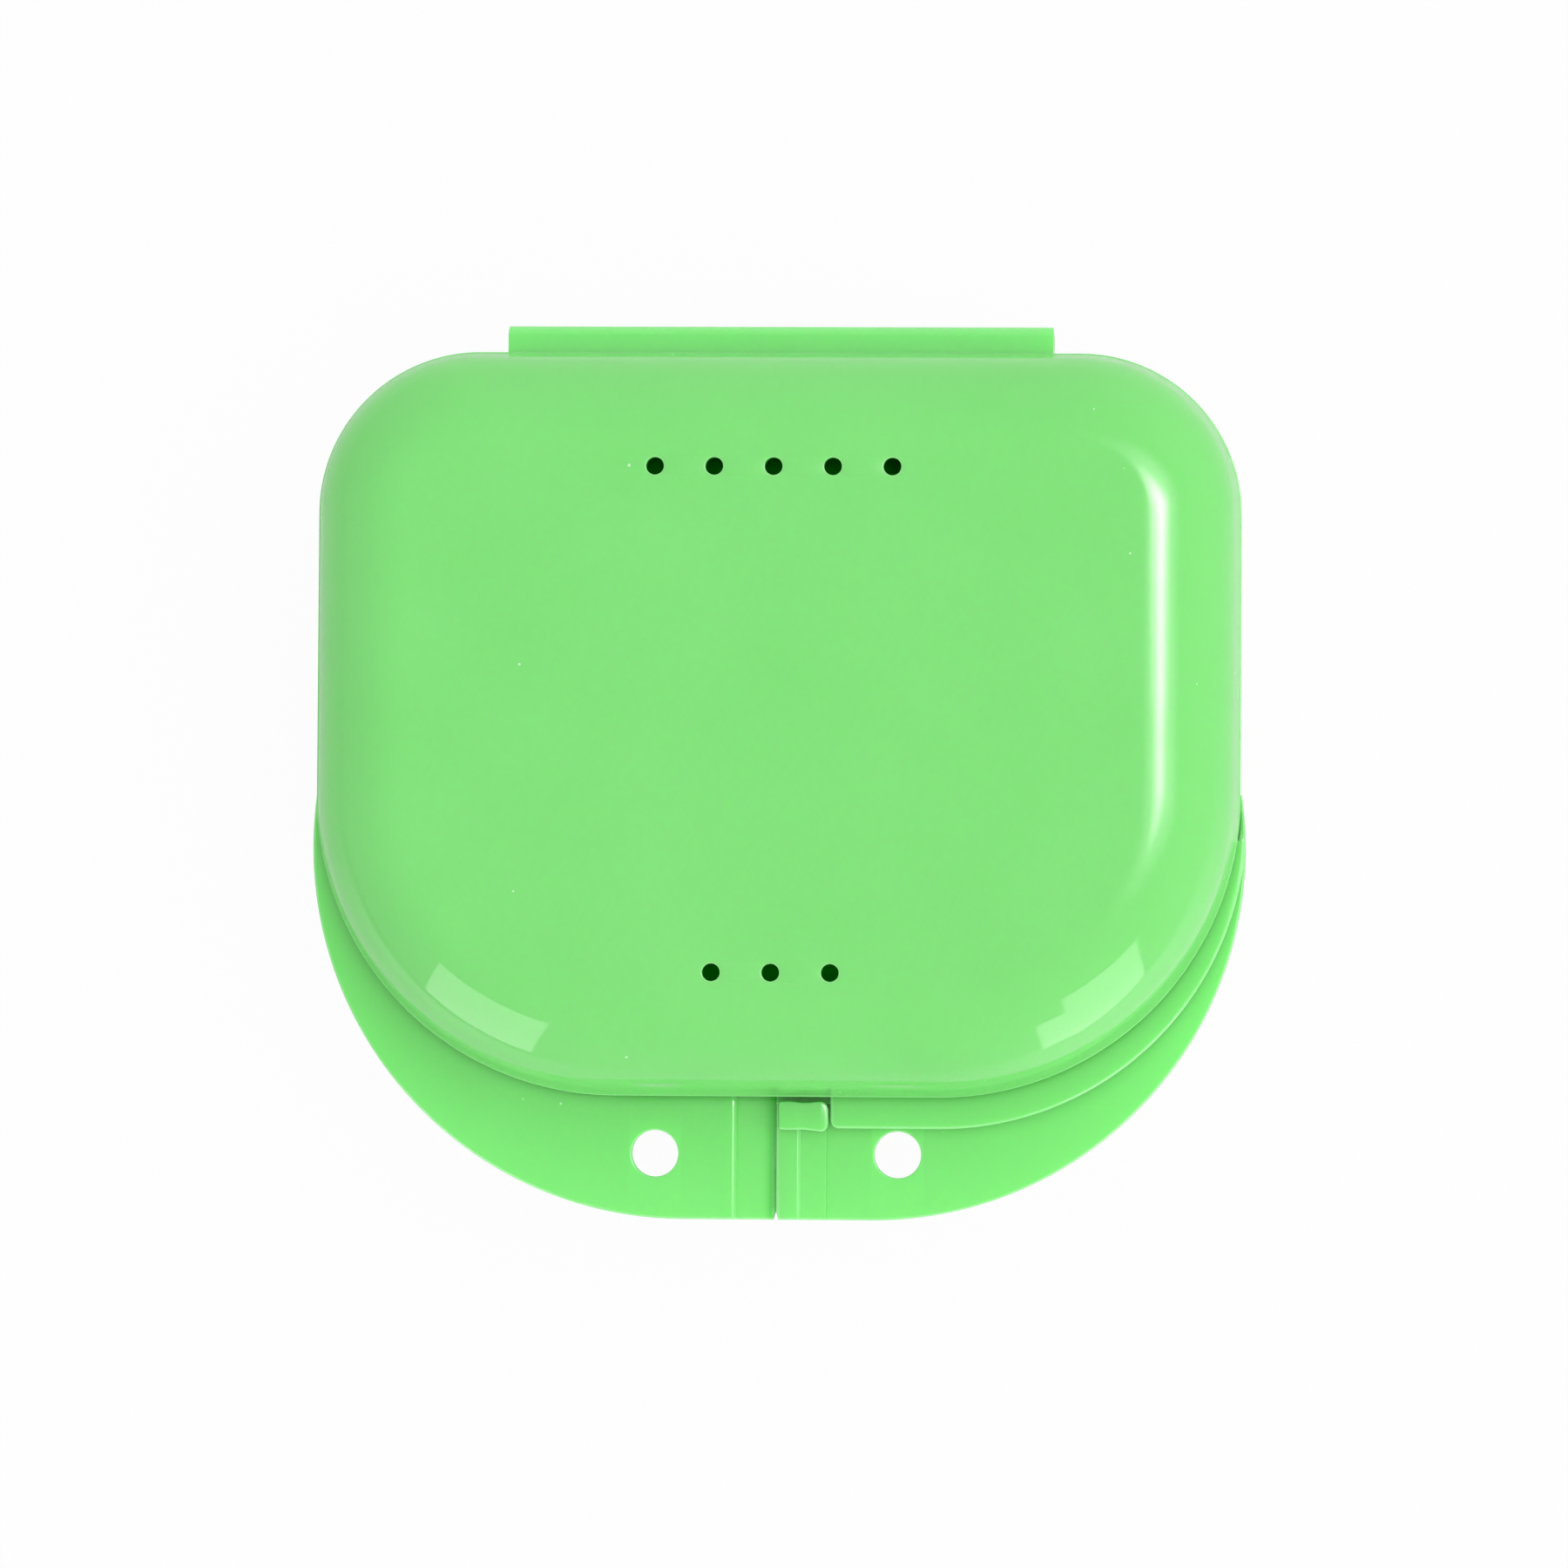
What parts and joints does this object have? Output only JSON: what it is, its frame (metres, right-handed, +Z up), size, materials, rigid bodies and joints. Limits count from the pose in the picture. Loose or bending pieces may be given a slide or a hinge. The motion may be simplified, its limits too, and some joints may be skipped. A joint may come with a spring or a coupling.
{
  "type": "retainer case",
  "caption": "Rounded clamshell case for an orthodontic retainer, with a folding strap hinge, split pull flanges, snap catches, key ring holes and vent holes in the lid.",
  "frame": {"origin": "on the plane that the closed case stands on, under the middle of its outline", "axes": "+X to the right across the front, +Y from the catches to the hinge, +Z up"},
  "size_m": [0.08, 0.0764, 0.027],
  "materials": {
    "green_plastic": "glossy, slightly translucent lime green polypropylene"
  },
  "bodies": {
    "base": {"base_shell": "green_plastic", "base_flange": "green_plastic", "base_leaf": "green_plastic"},
    "strap": {"hinge_strap": "green_plastic"},
    "lid": {"lid_shell": "green_plastic", "lid_flange": "green_plastic", "lid_leaf": "green_plastic"},
    "base_catch": {"base_catch": "green_plastic"},
    "lid_catch": {"lid_catch": "green_plastic"}
  },
  "joints": [
    {"name": "strap_fold", "type": "hinge", "parent": "base", "child": "strap", "pos_m": [0, 0.03785, 0.0119], "axis": [-1, 0, 0], "range_deg": [0, 90]},
    {"name": "lid_fold", "type": "hinge", "parent": "strap", "child": "lid", "pos_m": [0, 0.03785, 0.0151], "axis": [-1, 0, 0], "range_deg": [0, 90]},
    {"name": "base_catch_flex", "type": "hinge", "parent": "base", "child": "base_catch", "pos_m": [0.00237, -0.03045, 0.01465], "axis": [1, 0, 0], "range_deg": [0, 20], "stiffness_Nm_per_rad": 0.05},
    {"name": "lid_catch_flex", "type": "hinge", "parent": "lid", "child": "lid_catch", "pos_m": [-0.00237, -0.03045, 0.01235], "axis": [-1, 0, 0], "range_deg": [0, 20], "stiffness_Nm_per_rad": 0.05}
  ],
  "couplings": [
    {"joint": "strap_fold", "follows": "lid_fold", "ratio": 1}
  ]
}
